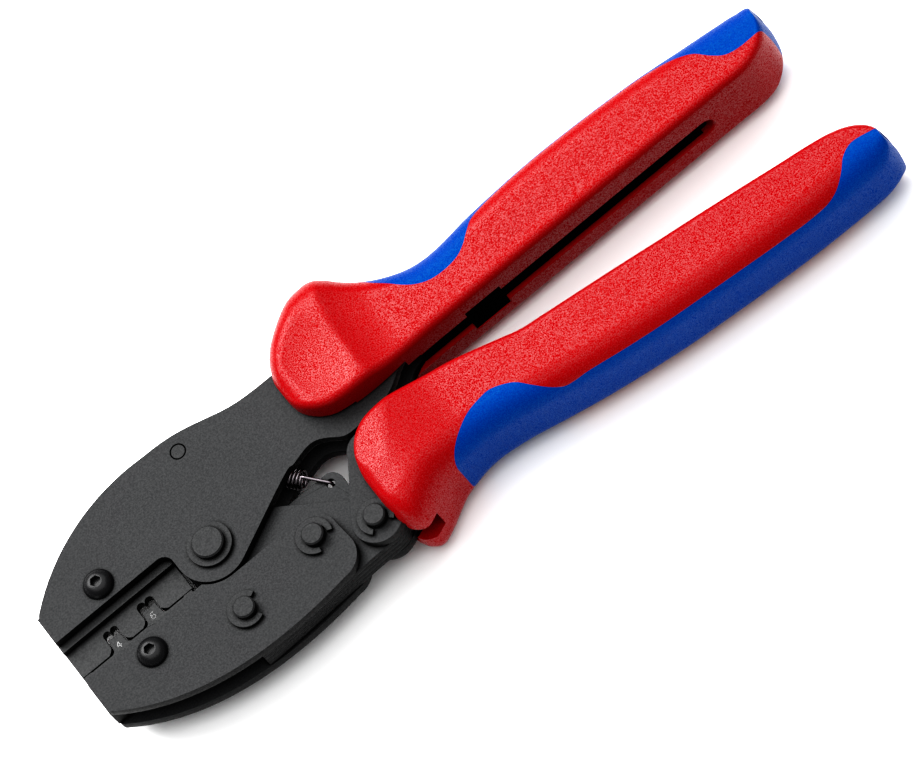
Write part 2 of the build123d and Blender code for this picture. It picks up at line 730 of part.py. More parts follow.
# ---------------------------------------------------------------- assembly
def build_parts():
    """Every node of the tool, by name."""
    parts = {}
    toggle = toggle_point()
    pawl_pin = pawl_frame(0, 0)
    spring_post = pawl_frame(12.0, 0)

    fixed_rivets = [(68.0, 12.3), (108.0, 12.1), (140.0, 12.1)]
    holes = [
        (MAIN_PIVOT, MAIN_PIN_RADIUS + FIT),
        (SPRING_ANCHOR, FLUSH_PIN_RADIUS + 0.1),
        (LINK_ANCHOR, ANCHOR_PIN_RADIUS + FIT),
        (UPPER_SCREW, SCREW_RADIUS + FIT),
    ]
    holes += [(centre, 2.0 + FIT) for centre in fixed_rivets]
    parts["fixed_plate_front"], parts["fixed_plate_back"] = both_sides(fixed_plate_face(), holes)
    parts["upper_die"] = make_upper_die()
    parts["upper_die_screw"] = die_screw(UPPER_SCREW)
    parts["upper_die_nut"] = die_nut(UPPER_SCREW)
    parts["main_pivot_pin"] = grooved_pin(MAIN_PIVOT, MAIN_PIN_RADIUS)
    parts["main_pivot_clip"] = e_clip(MAIN_PIVOT, MAIN_PIN_RADIUS, MAIN_CLIP_RADIUS, 82, 33)
    parts["spring_anchor_pin"] = plain_pin(SPRING_ANCHOR, FLUSH_PIN_RADIUS)
    parts["link_anchor_pin"] = plain_pin(LINK_ANCHOR, ANCHOR_PIN_RADIUS)
    parts["fixed_handle_rivets"] = Compound([collar_rivet(centre) for centre in fixed_rivets])

    jaw_holes = [
        (JAW_PIN_A, SMALL_PIN_RADIUS + FIT),
        (JAW_PIN_B, SMALL_PIN_RADIUS + FIT),
        (LOWER_SCREW, SCREW_RADIUS + FIT),
    ]
    parts["jaw_plate_front"], parts["jaw_plate_back"] = both_sides(jaw_plate_face(), jaw_holes)
    layer_holes = [
        (MAIN_PIVOT, MAIN_PIN_RADIUS + RUNNING_FIT),
        (HANDLE_PIVOT, SMALL_PIN_RADIUS + RUNNING_FIT),
        (JAW_PIN_A, SMALL_PIN_RADIUS + FIT),
        (JAW_PIN_B, SMALL_PIN_RADIUS + FIT),
    ]
    stack_bottom = -LAMINATION * LAMINATION_COUNT / 2
    for layer in range(LAMINATION_COUNT):
        low = stack_bottom + layer * LAMINATION
        high = low + LAMINATION
        lamination = slab(lamination_face(), low, high)
        if layer in (1, 2):
            lamination += slab(tooth_face(), low, high)
        if layer == 2:
            lamination += slab(lug_face(), low, high)
            lamination -= disc(SPRING_LUG, 1.1, low, high)
        for centre, radius in layer_holes:
            lamination -= disc(centre, radius, low, high)
        parts[f"jaw_lamination_{layer + 1}"] = lamination
    parts["lower_die"] = make_lower_die()
    parts["lower_die_screw"] = die_screw(LOWER_SCREW)
    parts["lower_die_nut"] = die_nut(LOWER_SCREW)
    parts["jaw_pin_inner"] = grooved_pin(JAW_PIN_A, SMALL_PIN_RADIUS)
    parts["jaw_pin_outer"] = grooved_pin(JAW_PIN_B, SMALL_PIN_RADIUS)
    parts["jaw_pin_clips"] = Compound(
        [
            e_clip(JAW_PIN_A, SMALL_PIN_RADIUS, SMALL_CLIP_RADIUS, -14, 44),
            e_clip(JAW_PIN_B, SMALL_PIN_RADIUS, SMALL_CLIP_RADIUS, -61, 40),
        ]
    )

    moving_rivets = [(66.0, -13.6), handle_local(24.0, -6.8), handle_local(56.0, -6.8)]
    handle_holes = [
        (HANDLE_PIVOT, SMALL_PIN_RADIUS + FIT),
        (toggle, TOGGLE_PIN_RADIUS + FIT),
        (pawl_pin, PAWL_PIN_RADIUS + FIT),
        (spring_post, 1.0 + FIT),
    ]
    handle_holes += [(centre, 2.0 + FIT) for centre in moving_rivets]
    plates = both_sides(handle_plate_face(), handle_holes)
    parts["handle_plate_front"], parts["handle_plate_back"] = plates
    parts["handle_pivot_pin"] = grooved_pin(HANDLE_PIVOT, SMALL_PIN_RADIUS)
    parts["handle_pivot_clip"] = e_clip(HANDLE_PIVOT, SMALL_PIN_RADIUS, SMALL_CLIP_RADIUS, -91, 43)
    parts["toggle_pin"] = plain_pin(toggle, TOGGLE_PIN_RADIUS)
    parts["pawl_pin"] = plain_pin(pawl_pin, PAWL_PIN_RADIUS)
    parts["pawl_spring_post"] = plain_pin(spring_post, 1.0)
    parts["moving_handle_rivets"] = Compound([collar_rivet(centre) for centre in moving_rivets])

    parts["pressure_link"] = make_link(toggle)
    parts["ratchet_pawl"] = make_pawl()
    parts["pawl_spring"] = make_pawl_spring()
    parts["opening_spring"] = make_opening_spring()

    reach = 20.0
    fixed_blank = slab(fixed_plate_face(), HALF_GAP, FACE)
    fixed_body = grip_body(FIXED_STATIONS)
    fixed_body -= fixed_grip_hollow([fixed_blank, fixed_blank.mirror(Plane.XY)])
    fixed_soft = soft_zone(FIXED_SOFT_EDGE, 45.0, reach)
    parts["fixed_grip"] = fixed_body - fixed_soft
    parts["fixed_grip_soft"] = fixed_body & fixed_soft

    moving_blank = slab(handle_plate_face(), HALF_GAP, FACE)
    moving_body = grip_body(MOVING_STATIONS)
    moving_body -= moving_grip_hollow([moving_blank, moving_blank.mirror(Plane.XY)])
    moving_soft = soft_zone(MOVING_SOFT_EDGE, -45.0, reach)
    parts["moving_grip"] = moving_body - moving_soft
    parts["moving_grip_soft"] = moving_body & moving_soft
    return parts


os.makedirs("parts", exist_ok=True)
for name, shape in build_parts().items():
    export_step(Pos(*ORIGIN_SHIFT) * shape, f"parts/{name}.step")
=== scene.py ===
"""Looks of a ratcheting crimping plier that lies on a white table.

Pieces are described in the tool's own plan, in millimetres: the main pivot is X = Y = 0, the
mid-plane is Z = 0, and X runs from the jaws to the handle ends. place() turns such a point into
the row frame, in metres.
"""

import json
from math import cos, hypot, pi, radians, sin, sqrt

import bmesh
import bpy
from mathutils import Matrix, Vector


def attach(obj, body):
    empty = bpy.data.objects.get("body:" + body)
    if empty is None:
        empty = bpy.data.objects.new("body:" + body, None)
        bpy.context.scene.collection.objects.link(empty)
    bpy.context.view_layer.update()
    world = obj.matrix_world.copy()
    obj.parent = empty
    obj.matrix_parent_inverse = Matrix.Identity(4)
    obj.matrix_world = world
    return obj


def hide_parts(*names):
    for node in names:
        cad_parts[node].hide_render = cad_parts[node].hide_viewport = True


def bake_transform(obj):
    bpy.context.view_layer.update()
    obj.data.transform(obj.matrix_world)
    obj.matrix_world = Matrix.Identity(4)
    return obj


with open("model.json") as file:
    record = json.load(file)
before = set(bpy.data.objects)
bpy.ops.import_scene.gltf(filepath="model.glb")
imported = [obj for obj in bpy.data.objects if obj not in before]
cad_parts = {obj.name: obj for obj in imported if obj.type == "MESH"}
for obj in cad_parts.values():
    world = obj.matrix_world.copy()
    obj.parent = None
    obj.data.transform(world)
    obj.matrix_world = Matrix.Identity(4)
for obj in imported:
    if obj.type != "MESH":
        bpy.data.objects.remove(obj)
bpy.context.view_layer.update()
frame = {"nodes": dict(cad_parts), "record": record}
NODES = frame["nodes"]

MM = 0.001
SHIFT = Vector((-67.65, -0.43, 13.0))
HALF_GAP = 3.0
FACE = 5.5
HANDLE_PIVOT = (33.3, -21.8)
SPRING_ANCHOR = (7.3, 24.2)
SPRING_LUG = (29.85, -5.2)
HANDLE_SLOPE = -8.0
HANDLE_DATUM = (85.0, -9.9)


def place(x, y, z=0.0):
    """Point of the plan in the row frame, in metres."""
    return (Vector((x, y, z)) + SHIFT) * MM


# ---------------------------------------------------------------- camera and light
SCALE_PX = 4.434
ELEVATION = radians(61.0)
LEAN = radians(41.0)
TURN = radians(1.7)
DISTANCE = 2.3
SENSOR = 36.0
PICTURE_WIDTH = 921
CAMERA_TARGET = (66.91, -8.89)
STUDIO_CENTRE = (66.0, 0.0)
SURROUNDINGS = 0.42
LIGHTS = {
    "key": ((-0.45, 1.0, 1.15), 1.2, 0.9, 38),
    "top": ((0.1, 0.3, 2.0), 3.0, 3.0, 66),
}


def add_camera():
    """Long-lens camera above the tool's near side, rolled so that the handles rise to the right."""
    along = Vector((cos(TURN), sin(TURN), 0))
    near = Vector((sin(TURN), -cos(TURN), 0))
    down_plane = near * sin(ELEVATION) - Vector((0, 0, 1)) * cos(ELEVATION)
    right = along * cos(LEAN) + down_plane * sin(LEAN)
    down = -along * sin(LEAN) + down_plane * cos(LEAN)
    back = right.cross(-down)
    target = place(*CAMERA_TARGET, FACE)
    turn = Matrix((right, -down, back)).transposed().to_4x4()
    data = bpy.data.cameras.new("camera")
    data.sensor_width = SENSOR
    data.lens = SENSOR * DISTANCE * SCALE_PX / (PICTURE_WIDTH * MM)
    data.clip_start = 0.1
    data.clip_end = 20
    camera = bpy.data.objects.new("camera", data)
    camera.matrix_world = Matrix.Translation(target + back * DISTANCE) @ turn
    bpy.context.scene.collection.objects.link(camera)
    bpy.context.scene.camera = camera


def add_area(name, position, aim, width, depth, power):
    """Rectangular soft light that faces a point."""
    data = bpy.data.lights.new(name, "AREA")
    data.shape = "RECTANGLE"
    data.size = width
    data.size_y = depth
    data.energy = power
    light = bpy.data.objects.new(name, data)
    direction = Vector(aim) - Vector(position)
    light.matrix_world = (
        Matrix.Translation(position) @ direction.to_track_quat("-Z", "Y").to_matrix().to_4x4()
    )
    bpy.context.scene.collection.objects.link(light)


def add_lights():
    """Soft lights round the tool; each has an offset in metres, a width, a depth and a power."""
    centre = place(*STUDIO_CENTRE)
    for name, (offset, width, depth, power) in LIGHTS.items():
        add_area(name, centre + Vector(offset), centre, width, depth, power)


def add_world():
    """Even white surroundings."""
    world = bpy.data.worlds.new("studio")
    world.use_nodes = True
    background = world.node_tree.nodes["Background"]
    background.inputs["Color"].default_value = (1, 1, 1, 1)
    background.inputs["Strength"].default_value = SURROUNDINGS
    bpy.context.scene.world = world


# ---------------------------------------------------------------- materials
# Painted shade in crevices: reach in millimetres, samples and the ramp that darkens by ambient
# occlusion.
CREVICE = 1.1
CREVICE_SAMPLES = 8
CREVICE_SHADE = [(0.52, (0.0,) * 3), (0.92, (1.0,) * 3)]
# Painted shade on faces turned from upright, by the size of the normal's Z.
PAINTED_EDGE_SHADE = [(0.1, (0.14,) * 3), (0.6, (0.5,) * 3), (0.97, (1.0,) * 3)]
STEEL_ROUGHNESS = 0.6
STEEL_GRAIN = 0.4
STEEL_RELIEF = 0.14
STEEL_DEPTH = 0.05
PLASTIC_DEPTH = 0.06
PLAIN_DEPTH = 0.03
CLOUD_SIZE = 14.0
CLOUD_SHARE = 0.25
FINE_SHARE = 0.85
# Dark colour, light colour and glint.
STEELS = {
    "plate_steel": ((0.0166, 0.0171, 0.0178), (0.0223, 0.0228, 0.0236), 0.155),
    "die_steel": ((0.021, 0.0215, 0.022), (0.028, 0.0285, 0.029), 0.17),
    "pin_steel": ((0.018, 0.0185, 0.019), (0.024, 0.0245, 0.025), 0.16),
    "clip_steel": ((0.018, 0.0185, 0.019), (0.024, 0.0245, 0.025), 0.16),
}
# Dark colour, light colour, roughness, glint, relief, grain in millimetres and tint of the glint.
PLASTICS = {
    "red_plastic": (
        (0.212, 0.0005, 0.002), (0.242, 0.001, 0.003), 0.3, 0.3, 0.4, 0.32, (1.0, 1.0, 1.0),
    ),
    "blue_rubber": (
        (0.0, 0.024, 0.17), (0.0, 0.036, 0.205), 0.42, 0.25, 0.5, 0.28, (0.0, 0.75, 1.0),
    ),
}
# Colour, metallic, roughness, specular level, grain in millimetres and relief.
PLAIN_FINISHES = {
    "screw_black": ((0.003, 0.003, 0.0035), 0.0, 0.34, 0.22, 0.4, 0.05),
    # spring_steel is kept dark as painted shade for the coil, which lies in the shade between the
    # plates.
    "spring_steel": ((0.15, 0.135, 0.145), 1.0, 0.22, 0.5, 0.5, 0.05),
    # Flat black for painted shade in the slot, the lock window and round the flush pin.
    "painted_shade_black": ((0.0008, 0.0008, 0.0008), 0.0, 1.0, 0.0, 0.4, 0.05),
    "number_white": ((0.22, 0.22, 0.22), 0.0, 0.6, 0.3, 0.4, 0.1),
}


def new_material(name):
    """Node material with its shader, ready for inputs."""
    material = bpy.data.materials.new(name)
    material.use_nodes = True
    return material, material.node_tree, material.node_tree.nodes["Principled BSDF"]


def texture_space(tree):
    """Object coordinates, in metres."""
    return tree.nodes.new("ShaderNodeTexCoord").outputs["Object"]


def add_noise(tree, space, size_mm, detail=2.0, roughness=0.5):
    """Noise whose lumps are about size_mm wide."""
    node = tree.nodes.new("ShaderNodeTexNoise")
    node.inputs["Scale"].default_value = 1.0 / (size_mm * MM)
    node.inputs["Detail"].default_value = detail
    node.inputs["Roughness"].default_value = roughness
    tree.links.new(space, node.inputs["Vector"])
    return node.outputs["Fac"]


def add_ramp(tree, value, stops):
    """Colour ramp over a value; each stop is (position, colour)."""
    node = tree.nodes.new("ShaderNodeValToRGB")
    ramp = node.color_ramp
    while len(ramp.elements) < len(stops):
        ramp.elements.new(0.5)
    for element, (position, colour) in zip(ramp.elements, stops):
        element.position = position
        element.color = (*colour, 1)
    tree.links.new(value, node.inputs["Fac"])
    return node.outputs["Color"]


def add_bump(tree, height, strength, distance_mm):
    """Bump from a height."""
    node = tree.nodes.new("ShaderNodeBump")
    node.inputs["Strength"].default_value = strength
    node.inputs["Distance"].default_value = distance_mm * MM
    tree.links.new(height, node.inputs["Height"])
    return node.outputs["Normal"]


def multiply(tree, first, second):
    """Product of two colours."""
    mix = tree.nodes.new("ShaderNodeMix")
    mix.data_type = "RGBA"
    mix.blend_type = "MULTIPLY"
    mix.inputs["Factor"].default_value = 1.0
    tree.links.new(first, next(s for s in mix.inputs if s.identifier == "A_Color"))
    tree.links.new(second, next(s for s in mix.inputs if s.identifier == "B_Color"))
    return next(s for s in mix.outputs if s.identifier == "Result_Color")


def add_painted_crevice_shade(tree, colour):
    """Painted shade: darken a colour where pieces meet and in crevices, by the ambient occlusion
    there.
    """
    occlusion = tree.nodes.new("ShaderNodeAmbientOcclusion")
    occlusion.samples = CREVICE_SAMPLES
    occlusion.inputs["Distance"].default_value = CREVICE * MM
    return multiply(tree, colour, add_ramp(tree, occlusion.outputs["AO"], CREVICE_SHADE))


def add_painted_edge_shade(tree, colour):
    """Painted shade: darken faces by how far they turn from upright, so side walls and broken edges
    come out dark.
    """
    geometry = tree.nodes.new("ShaderNodeNewGeometry")
    split = tree.nodes.new("ShaderNodeSeparateXYZ")
    tree.links.new(geometry.outputs["Normal"], split.inputs[0])
    upright = tree.nodes.new("ShaderNodeMath")
    upright.operation = "ABSOLUTE"
    tree.links.new(split.outputs["Z"], upright.inputs[0])
    return multiply(tree, colour, add_ramp(tree, upright.outputs[0], PAINTED_EDGE_SHADE))


def steel_material(name, dark, light, glint):
    """Burnished steel: fine grain in colour, glint and relief, and larger faint clouds."""
    material, tree, shader = new_material(name)
    space = texture_space(tree)
    grain = add_noise(tree, space, STEEL_GRAIN, 3.0, 0.6)
    clouds = add_noise(tree, space, CLOUD_SIZE, 2.0)
    mix = tree.nodes.new("ShaderNodeMath")
    mix.operation = "MULTIPLY_ADD"
    mix.inputs[1].default_value = CLOUD_SHARE
    tree.links.new(clouds, mix.inputs[0])
    tree.links.new(grain, mix.inputs[2])
    colour = add_ramp(tree, mix.outputs[0], [(0.42, dark), (0.85, light)])
    # Painted shade: colour darkened in crevices and on faces turned from upright.
    colour = add_painted_edge_shade(tree, add_painted_crevice_shade(tree, colour))
    tree.links.new(colour, shader.inputs["Base Color"])
    level = add_ramp(tree, grain, [(0.35, (0.6 * glint,) * 3), (0.7, (1.4 * glint,) * 3)])
    tree.links.new(level, shader.inputs["Specular IOR Level"])
    tree.links.new(add_bump(tree, grain, STEEL_RELIEF, STEEL_DEPTH), shader.inputs["Normal"])
    shader.inputs["Roughness"].default_value = STEEL_ROUGHNESS
    return material


def plastic_material(name, dark, light, roughness, glint, bump, grain_mm, tint):
    """Moulded grip plastic: a stippled surface whose grains catch the light one by one."""
    material, tree, shader = new_material(name)
    space = texture_space(tree)
    grain = add_noise(tree, space, grain_mm, 1.0, 0.4)
    fine = add_noise(tree, space, grain_mm * FINE_SHARE, 0.0)
    colour = add_ramp(tree, grain, [(0.35, dark), (0.65, light)])
    tree.links.new(colour, shader.inputs["Base Color"])
    level = add_ramp(tree, fine, [(0.32, (0.0,) * 3), (0.82, (glint,) * 3)])
    tree.links.new(level, shader.inputs["Specular IOR Level"])
    tree.links.new(add_bump(tree, fine, bump, PLASTIC_DEPTH), shader.inputs["Normal"])
    shader.inputs["Roughness"].default_value = roughness
    shader.inputs["Specular Tint"].default_value = (*tint, 1)
    return material


def plain_material(name, colour, metallic, roughness, specular, grain_mm, bump):
    """Even finish with a slight relief."""
    material, tree, shader = new_material(name)
    grain = add_noise(tree, texture_space(tree), grain_mm, 2.0)
    tree.links.new(add_bump(tree, grain, bump, PLAIN_DEPTH), shader.inputs["Normal"])
    shader.inputs["Base Color"].default_value = (*colour, 1)
    shader.inputs["Metallic"].default_value = metallic
    shader.inputs["Roughness"].default_value = roughness
    shader.inputs["Specular IOR Level"].default_value = specular
    return material


def make_materials():
    """Every finish of the tool, by name."""
    materials = {name: steel_material(name, *look) for name, look in STEELS.items()}
    for name, look in PLASTICS.items():
        materials[name] = plastic_material(name, *look)
    for name, look in PLAIN_FINISHES.items():
        materials[name] = plain_material(name, *look)
    return materials


# ---------------------------------------------------------------- mesh helpers
def mesh_object(name, mesh):
    """Object for a mesh, in the scene."""
    piece = bpy.data.objects.new(name, mesh)
    bpy.context.scene.collection.objects.link(piece)
    return piece


def from_points(name, points, faces):
    """Mesh object from plan points in millimetres and faces."""
    mesh = bpy.data.meshes.new(name)
    mesh.from_pydata([place(*p) for p in points], [], faces)
    mesh.validate()
    return mesh_object(name, mesh)


def face_outwards(piece):
    """Turn the faces of a closed mesh outwards."""
    bm = bmesh.new()
    bm.from_mesh(piece.data)
    bmesh.ops.recalc_face_normals(bm, faces=bm.faces)
    bm.to_mesh(piece.data)
    bm.free()


def finish(piece, material):
    """Give a whole piece one finish."""
    piece.data.materials.clear()
    piece.data.materials.append(material)


def smooth(piece, angle=35.0):
    """Smooth shading with sharp edges over an angle."""
    piece.data.shade_smooth()
    piece.data.set_sharp_from_angle(angle=radians(angle))


def apply_modifiers(piece):
    """Mesh with its modifiers made real."""
    depsgraph = bpy.context.evaluated_depsgraph_get()
    depsgraph.update()
    mesh = bpy.data.meshes.new_from_object(piece.evaluated_get(depsgraph))
    old = piece.data
    piece.modifiers.clear()
    piece.data = mesh
    bpy.data.meshes.remove(old)


def cut(piece, tools, operation="DIFFERENCE"):
    """Boolean with several closed tools, which are then removed."""
    for tool in tools:
        modifier = piece.modifiers.new("cut", "BOOLEAN")
        modifier.operation = operation
        modifier.solver = "EXACT"
        modifier.object = tool
    apply_modifiers(piece)
    for tool in tools:
        mesh = tool.data
        bpy.data.objects.remove(tool)
        bpy.data.meshes.remove(mesh)


def prism(name, outline, low, high):
    """Closed prism over a plan outline, between two heights."""
    count = len(outline)
    area = sum(
        outline[i][0] * outline[(i + 1) % count][1] - outline[(i + 1) % count][0] * outline[i][1]
        for i in range(count)
    )
    ring = outline if area > 0 else outline[::-1]
    points = [(x, y, low) for x, y in ring] + [(x, y, high) for x, y in ring]
    faces = [[i, (i + 1) % count, count + (i + 1) % count, count + i] for i in range(count)]
    faces.append(list(range(count))[::-1])
    faces.append(list(range(count, 2 * count)))
    return from_points(name, points, faces)


def polar(centre, radius, angle):
    """Plan point at a radius and an angle in degrees."""
    return (centre[0] + radius * cos(radians(angle)), centre[1] + radius * sin(radians(angle)))


def circle(centre, radius, count=48):
    """Round plan outline."""
    return [polar(centre, radius, 360 * i / count) for i in range(count)]


def curve_through(rows, step):
    """Points on a smooth curve through rows of numbers, about a step apart."""
    result = []
    last = len(rows) - 1
    for i in range(last):
        a, b = rows[i], rows[i + 1]
        before = rows[i - 1] if i > 0 else [2 * p - q for p, q in zip(a, b)]
        after = rows[i + 2] if i + 2 <= last else [2 * q - p for p, q in zip(a, b)]

        def gap(p, q):
            return max(sqrt(sum((u - v) ** 2 for u, v in zip(p, q))), 1e-6) ** 0.5

        t0, t1 = gap(before, a), gap(a, b)
        t2 = gap(b, after)
        count = max(1, int(round(t1 * t1 / step)))
        for k in range(count):
            s = k / count
            row = []
            for p, q, r, w in zip(before, a, b, after):
                m1 = (r - q) + t1 * ((q - p) / t0 - (r - p) / (t0 + t1))
                m2 = (r - q) + t1 * ((w - r) / t2 - (w - q) / (t1 + t2))
                row.append(
                    (2 * s**3 - 3 * s**2 + 1) * q
                    + (s**3 - 2 * s**2 + s) * m1
                    + (3 * s**2 - 2 * s**3) * r
                    + (s**3 - s**2) * m2
                )
            result.append(row)
    result.append(list(rows[last]))
    return result


# ---------------------------------------------------------------- grips
FIXED_ROWS = [
    (34.0, 15.6, 18.7, 7.8),
    (34.05, 13.6, 20.8, 9.2),
    (34.8, 10.8, 23.7, 10.8),
    (36.3, 8.5, 26.5, 11.9),
    (38.3, 6.6, 28.9, 12.5),
    (40.9, 5.2, 31.1, 12.8),
    (44.4, 4.5, 33.6, 12.9),
    (48.0, 4.2, 35.5, 12.95),
    (51.3, 4.1, 36.05, 12.95),
    (54.2, 4.2, 35.9, 12.95),
    (57.4, 4.4, 33.95, 12.95),
    (60.5, 4.7, 30.9, 12.95),
    (63.7, 4.8, 28.2, 12.95),
    (67.0, 4.9, 25.95, 12.95),
    (70.4, 4.95, 24.2, 12.95),
    (74.0, 4.95, 22.85, 12.95),
    (78.4, 4.95, 22.15, 12.95),
    (83.6, 4.95, 22.35, 12.95),
    (90.9, 4.95, 23.3, 12.95),
    (101.2, 4.95, 24.05, 12.95),
    (111.7, 4.95, 24.4, 12.95),
    (122.2, 4.95, 24.2, 12.95),
    (132.6, 4.95, 23.7, 12.95),
    (143.1, 4.95, 22.85, 12.95),
    (153.4, 4.95, 21.55, 12.95),
    (160.0, 4.95, 20.8, 12.95),
    (163.6, 5.4, 20.35, 12.95),
    (166.3, 6.5, 20.0, 12.95),
    (168.5, 8.3, 19.3, 12.9),
    (169.7, 10.3, 18.4, 12.6),
    (170.4, 12.1, 17.3, 11.9),
    (170.65, 13.4, 16.2, 11.0),
]
MOVING_ROWS = [
    (36.55, -17.5, -22.5, 8.4),
    (36.6, -14.0, -25.2, 9.8),
    (37.4, -10.8, -27.8, 11.2),
    (38.9, -7.4, -29.8, 12.2),
    (41.2, -4.6, -30.7, 12.7),
    (44.4, -2.9, -29.4, 12.95),
    (48.0, -2.2, -27.4, 12.95),
    (51.8, -1.9, -25.5, 12.95),
    (55.5, -2.1, -24.6, 12.95),
    (59.7, -2.65, -24.0, 12.95),
    (63.8, -3.4, -23.9, 12.95),
    (68.0, -4.25, -24.35, 12.95),
    (73.2, -5.75, -25.25, 12.95),
    (79.0, -7.6, -26.6, 12.95),
    (85.2, -9.55, -27.95, 12.95),
    (90.9, -10.35, -29.1, 12.95),
    (101.2, -11.7, -30.8, 12.95),
    (111.7, -13.1, -32.25, 12.95),
    (122.2, -14.6, -33.25, 12.95),
    (132.6, -16.0, -34.1, 12.95),
    (143.1, -17.5, -34.8, 12.95),
    (153.4, -19.05, -35.15, 12.95),
    (161.5, -20.2, -35.22, 12.95),
    (166.5, -21.2, -35.15, 12.9),
    (170.0, -22.5, -34.85, 12.8),
    (172.5, -24.2, -34.2, 12.4),
    (174.2, -26.1, -33.1, 11.6),
    (175.1, -27.8, -31.9, 10.5),
    (175.3, -28.8, -31.1, 9.6),
]
TOOL_REACH = 20.0
FAR_SIDE = 45.0
BODY_HALF = 10.0
SLOT_HALF = 2.7
SLOT_STEPS = 16
MOUTH_FLARE = 0.35
MOUTH_EXTRA = 0.6
MOUTH_SHARE = 0.9
MOUTH_STEPS = 4
CREST_HALF = 12.95
INNER_RADIUS = 1.9
OUTER_SHARE = 0.63
LOW_OUTER_SHARE = 0.48
GRIP_STEP = 0.8
EDGE_STEP = 0.7
INNER_SPAN_SHARE = 0.42
INNER_TOP_SHARE = 0.5
OUTER_SPAN_SHARE = 0.52
CORNER_STEPS = 8
FLAT_STEPS = 18
SIDE_STEPS = 10
FIXED_END = (165.0, 170.65, 0.74, 1.3)
MOVING_END = (167.5, 175.3, 0.84, 0.9)
RIDGE_X = 52.1
RIDGE_BOW = 0.009
RIDGE_BOW_FROM = 13.0
RIDGE_SLOPE = 0.44
RIDGE_EDGE = 0.35
RIDGE_RUN = 6.7
RIDGE_FOOT = 4.2
SCOOP_DEPTH = 0.8
SCOOP_CENTRE = (43.0, 16.0)
SCOOP_SIZE = (9.6, 13.5)
CREASE_X = 39.2
CREASE_Y = -22.5
CREASE_LEAN = 0.6324
CREASE_BOW = 0.02
CREASE_SHARE = 0.85
CREASE_SLOPE = 0.14
CREASE_EDGE = 0.5
HEAD_RUN = (44.0, 63.0)
CREASE_FADE = (50.0, 56.0)


def blend_step(value, low, high):
    """Smooth step from 0 to 1."""
    t = min(max((value - low) / (high - low), 0.0), 1.0)
    return t * t * (3 - 2 * t)


def soft_ramp(value, width):
    """Ramp that is 0 below zero and rises with slope 1, with a rounded foot."""
    if value <= -width:
        return 0.0
    if value >= width:
        return value
    return (value + width) ** 2 / (4 * width)


def fixed_height(x, y):
    """Half thickness of the fixed grip: a scooped head with a sharp ridge across it."""
    ridge = RIDGE_X + RIDGE_BOW * max(y - RIDGE_BOW_FROM, 0.0) ** 2
    past = x - ridge
    fall = soft_ramp(past, RIDGE_EDGE) - soft_ramp(past - RIDGE_RUN, RIDGE_FOOT)
    height = CREST_HALF - RIDGE_SLOPE * fall
    across = (x - SCOOP_CENTRE[0]) / SCOOP_SIZE[0]
    along = (y - SCOOP_CENTRE[1]) / SCOOP_SIZE[1]
    scoop = SCOOP_DEPTH * (1 - min(across**2 + along**2, 1.0))
    return max(height, BODY_HALF) - scoop


def moving_height(x, y):
    """Half thickness of the moving grip: a soft crease runs aslant across its head."""
    lean = CREASE_LEAN * max(y - CREASE_Y, 0.0) + CREASE_BOW * max(CREASE_Y - y, 0.0) ** 2
    past = (x - CREASE_X - lean) * CREASE_SHARE
    drop = (CREST_HALF - BODY_HALF) * blend_step(x, *HEAD_RUN)
    fade = 1 - blend_step(x, *CREASE_FADE)
    return CREST_HALF - drop - CREASE_SLOPE * soft_ramp(-past, CREASE_EDGE) * fade


def grip_ring(inner, outer, limit, height, x, low):
    """Rounded section as (y, z) points, counter-clockwise seen from the handle end.

    The part below the mid-plane is flattened to the share low.
    """
    side = 1 if outer > inner else -1
    span = abs(outer - inner)
    middle = (inner + outer) / 2
    top = min(height(x, middle), limit)
    r_in = min(INNER_RADIUS, INNER_SPAN_SHARE * span, INNER_TOP_SHARE * top)
    r_out = min(OUTER_SHARE * top, OUTER_SPAN_SHARE * span)
    r_low = min(LOW_OUTER_SHARE * top, OUTER_SPAN_SHARE * span)
    points = []

    def add(depth, z):
        y = inner + side * depth
        ratio = min(height(x, y), limit) / top
        points.append((y, z * ratio * (low if z < 0 else 1)))

    for i in range(SIDE_STEPS):
        add(0.0, (top - r_in) * (2 * i / SIDE_STEPS - 1))
    for i in range(CORNER_STEPS):
        a = pi / 2 * i / CORNER_STEPS
        add(r_in * (1 - cos(a)), top - r_in + r_in * sin(a))
    for i in range(FLAT_STEPS):
        add(r_in + (span - r_in - r_out) * i / FLAT_STEPS, top)
    for i in range(2 * CORNER_STEPS):
        a = pi / 2 * i / (2 * CORNER_STEPS)
        add(span - r_out + r_out * sin(a), top - r_out + r_out * cos(a))
    for i in range(SIDE_STEPS):
        share = i / SIDE_STEPS
        add(span, (top - r_out) * (1 - share) - (top - r_low) * share)
    for i in range(2 * CORNER_STEPS):
        a = pi / 2 * i / (2 * CORNER_STEPS)
        add(span - r_low + r_low * cos(a), -(top - r_low + r_low * sin(a)))
    for i in range(FLAT_STEPS):
        add(span - r_low - (span - r_in - r_low) * i / FLAT_STEPS, -top)
    for i in range(CORNER_STEPS):
        a = pi / 2 * i / CORNER_STEPS
        add(r_in * (1 - sin(a)), -(top - r_in + r_in * cos(a)))
    return points


